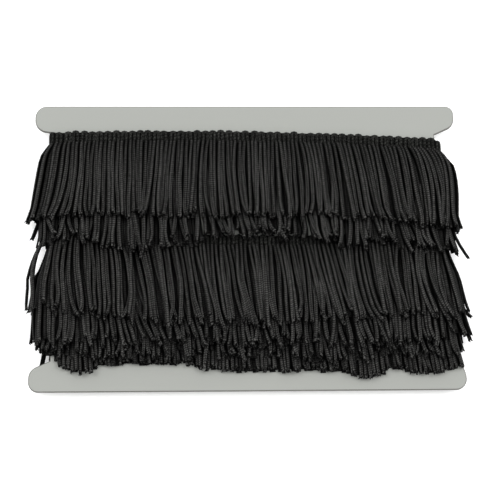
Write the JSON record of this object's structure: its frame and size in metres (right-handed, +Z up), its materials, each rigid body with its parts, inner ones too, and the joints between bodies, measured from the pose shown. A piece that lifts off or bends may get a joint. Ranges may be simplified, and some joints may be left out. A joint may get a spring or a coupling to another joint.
{
  "type": "chainette fringe wound on a dog-bone card",
  "caption": "Black chainette fringe trim wound in overlapping rows round a flat grey dog-bone card, lying on its back.",
  "frame": {"origin": "under the middle of the wound card, on the surface that it lies on", "axes": "+X along the turns of the fringe, +Y from the strand tips to the headings, +Z up, out of the card's front"},
  "size_m": [0.2456, 0.165, 0.02],
  "materials": {
    "card": "smooth pale grey greyboard, matt",
    "fringe": "black knitted chainette yarn with a soft dull sheen"
  },
  "bodies": {
    "root": {"card": "card", "fringe": "fringe"}
  },
  "joints": []
}
